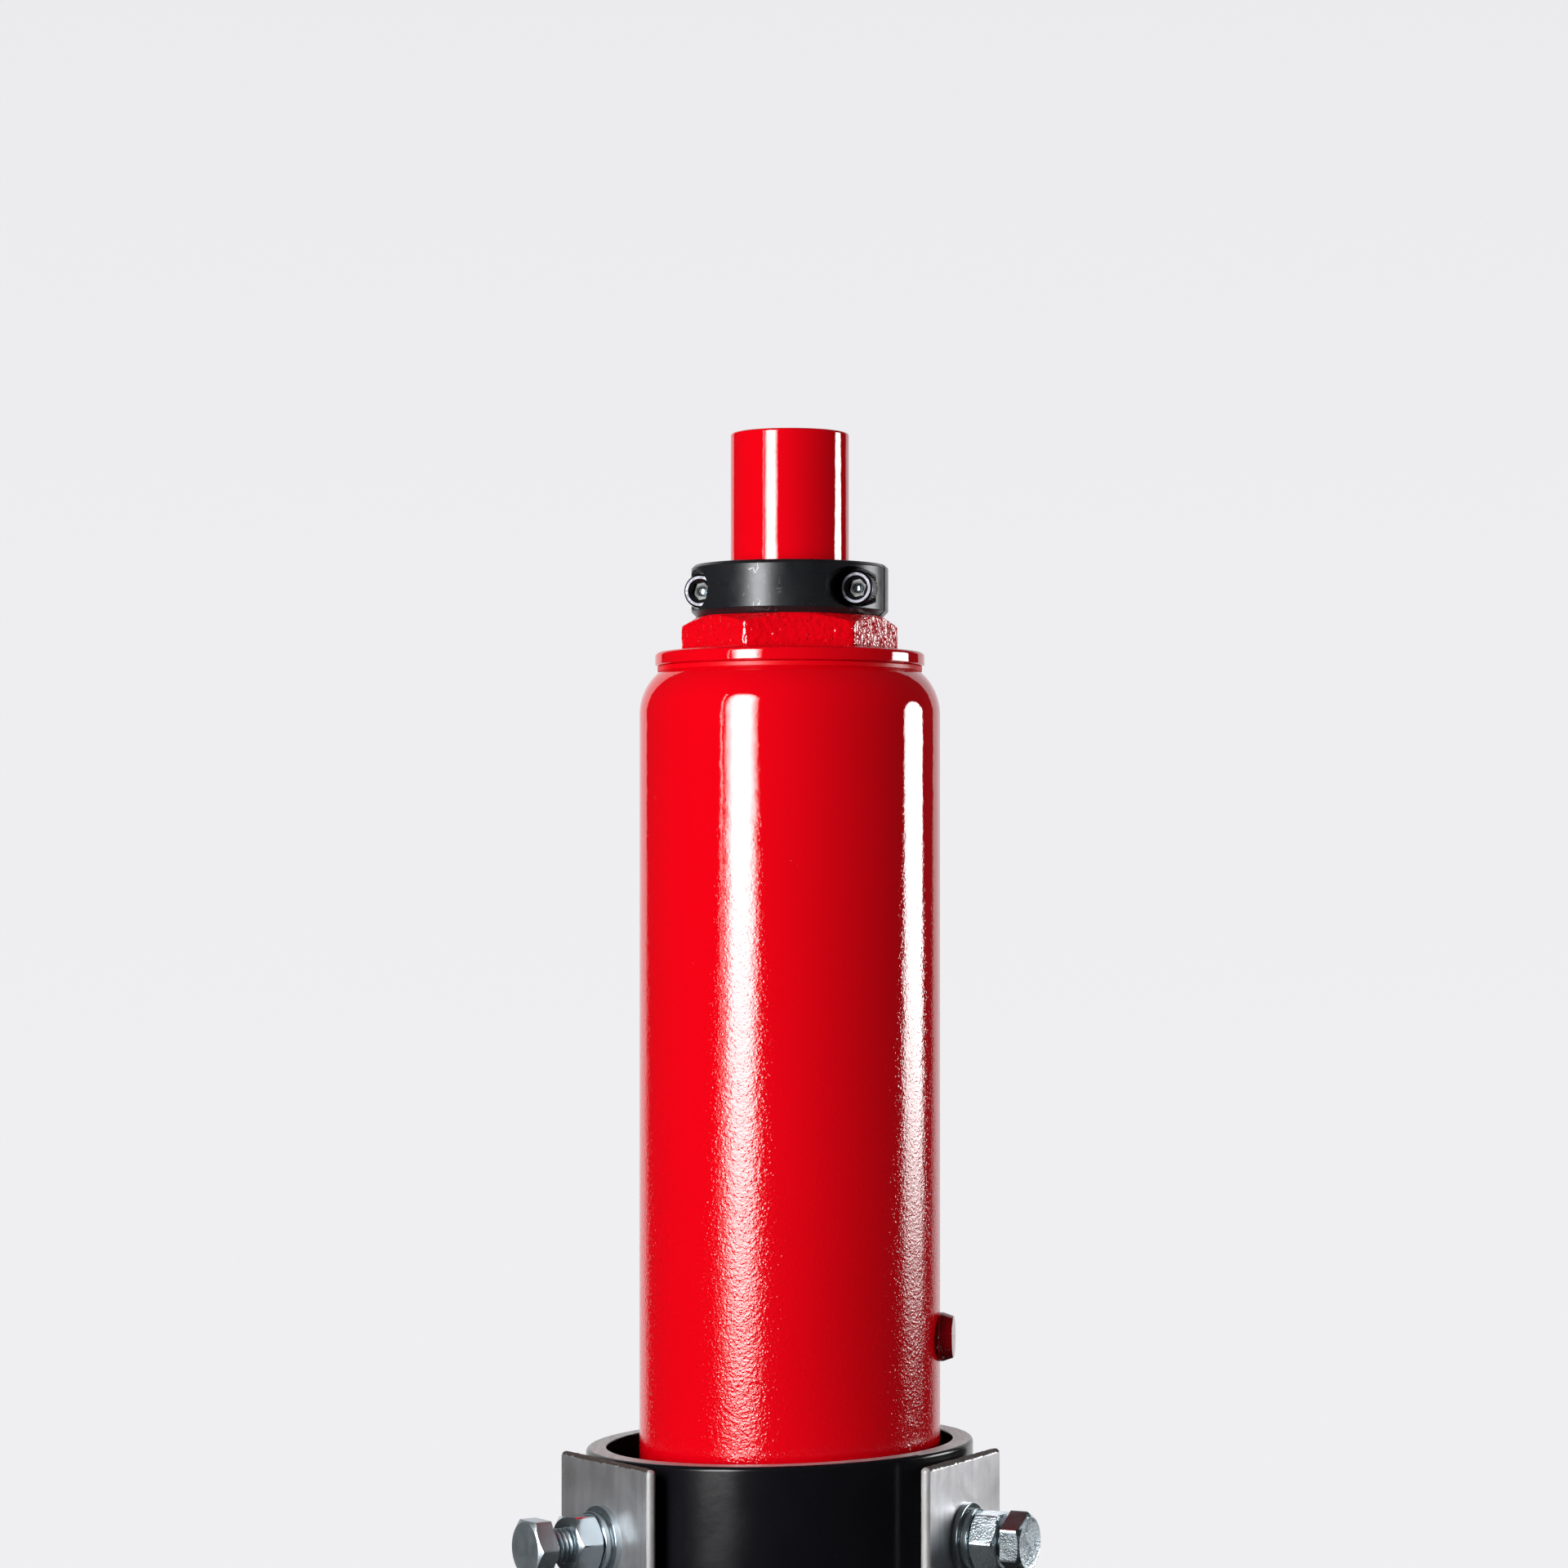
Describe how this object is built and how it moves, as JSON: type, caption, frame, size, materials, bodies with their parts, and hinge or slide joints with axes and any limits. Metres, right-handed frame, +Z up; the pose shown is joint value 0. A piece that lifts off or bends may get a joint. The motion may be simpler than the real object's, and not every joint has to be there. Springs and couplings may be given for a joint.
{
  "type": "telescopic hydraulic cylinder",
  "caption": "Red hydraulic ram in a reservoir body that slides in a black outer tube and is held by radial clamp bolts, for lifting and pushing.",
  "frame": {"origin": "bottom centre of the base plate, on the outer tube's axis", "axes": "+Z up along the cylinder, -Y to the front, +X to the right seen from the front"},
  "size_m": [0.16, 0.1639, 0.5098],
  "materials": {
    "tube_black": "satin",
    "bracket_steel": "raw mill, scratched",
    "zinc": "bright zinc plate",
    "bronze": "turned",
    "red_paint": "gloss enamel",
    "ram_red": "gloss enamel",
    "machined_steel": "machined",
    "spring_steel": "drawn wire",
    "seal_rubber": "matt",
    "black_oxide": "black oxide, satin",
    "screw_black": "black oxide, worn bright"
  },
  "bodies": {
    "outer": {"base_plate": "tube_black", "outer_tube": "tube_black", "tube_foot_weld": "tube_black", "bracket_left": "bracket_steel", "bracket_right": "bracket_steel", "bracket_rear": "bracket_steel", "bracket_weld_left": "tube_black", "bracket_weld_right": "tube_black", "bracket_weld_rear": "tube_black", "flat_washer_left": "zinc", "flat_washer_right": "zinc", "flat_washer_rear": "zinc", "spring_washer_left": "zinc", "spring_washer_right": "zinc", "spring_washer_rear": "zinc", "lock_nut_left": "zinc", "lock_nut_right": "zinc", "lock_nut_rear": "zinc"},
    "stage": {"reservoir_shell": "red_paint", "stage_base": "machined_steel", "pressure_tube": "machined_steel", "gland_nut": "red_paint", "cap_gasket": "red_paint", "guide_bush": "bronze", "rod_seal": "seal_rubber", "wiper_ring": "seal_rubber", "upper_oring": "seal_rubber", "lower_oring": "seal_rubber", "filler_plug": "red_paint", "plug_seat": "red_paint", "check_ball": "machined_steel", "check_spring": "spring_steel", "check_retainer": "machined_steel"},
    "ram": {"ram_rod": "ram_red", "piston": "machined_steel", "piston_seal": "seal_rubber", "wear_ring": "bronze", "piston_nut": "machined_steel", "collar_front": "black_oxide", "collar_rear": "black_oxide", "collar_screw_left": "screw_black", "collar_screw_right": "screw_black"},
    "pad_left": {"thrust_pad_left": "bronze"},
    "bolt_left": {"clamp_bolt_left": "zinc"},
    "pad_right": {"thrust_pad_right": "bronze"},
    "bolt_right": {"clamp_bolt_right": "zinc"},
    "pad_rear": {"thrust_pad_rear": "bronze"},
    "bolt_rear": {"clamp_bolt_rear": "zinc"}
  },
  "joints": [
    {"name": "stage_slide", "type": "slide", "parent": "outer", "child": "stage", "axis": [0, 0, 1], "range_m": [0, 0.1]},
    {"name": "ram_slide", "type": "slide", "parent": "stage", "child": "ram", "axis": [0, 0, 1], "range_m": [0, 0.3]},
    {"name": "pad_left_slide", "type": "slide", "parent": "outer", "child": "pad_left", "axis": [-0.8387, -0.5446, 0], "range_m": [0, 0.003]},
    {"name": "bolt_left_turn", "type": "hinge", "parent": "pad_left", "child": "bolt_left", "pos_m": [-0.05032, -0.03268, 0.1872], "axis": [-0.8387, -0.5446, 0], "range_deg": [0, 722]},
    {"name": "pad_right_slide", "type": "slide", "parent": "outer", "child": "pad_right", "axis": [0.891, -0.454, 0], "range_m": [0, 0.003]},
    {"name": "bolt_right_turn", "type": "hinge", "parent": "pad_right", "child": "bolt_right", "pos_m": [0.05346, -0.02724, 0.1872], "axis": [0.891, -0.454, 0], "range_deg": [0, 722]},
    {"name": "pad_rear_slide", "type": "slide", "parent": "outer", "child": "pad_rear", "axis": [-0.0523, 0.9986, 0], "range_m": [0, 0.003]},
    {"name": "bolt_rear_turn", "type": "hinge", "parent": "pad_rear", "child": "bolt_rear", "pos_m": [-0.00314, 0.05992, 0.1872], "axis": [-0.0523, 0.9986, 0], "range_deg": [0, 722]}
  ],
  "couplings": [
    {"joint": "bolt_left_turn", "follows": "pad_left_slide", "rad_per_m": 4188.8},
    {"joint": "bolt_right_turn", "follows": "pad_right_slide", "rad_per_m": 4188.8},
    {"joint": "bolt_rear_turn", "follows": "pad_rear_slide", "rad_per_m": 4188.8}
  ]
}
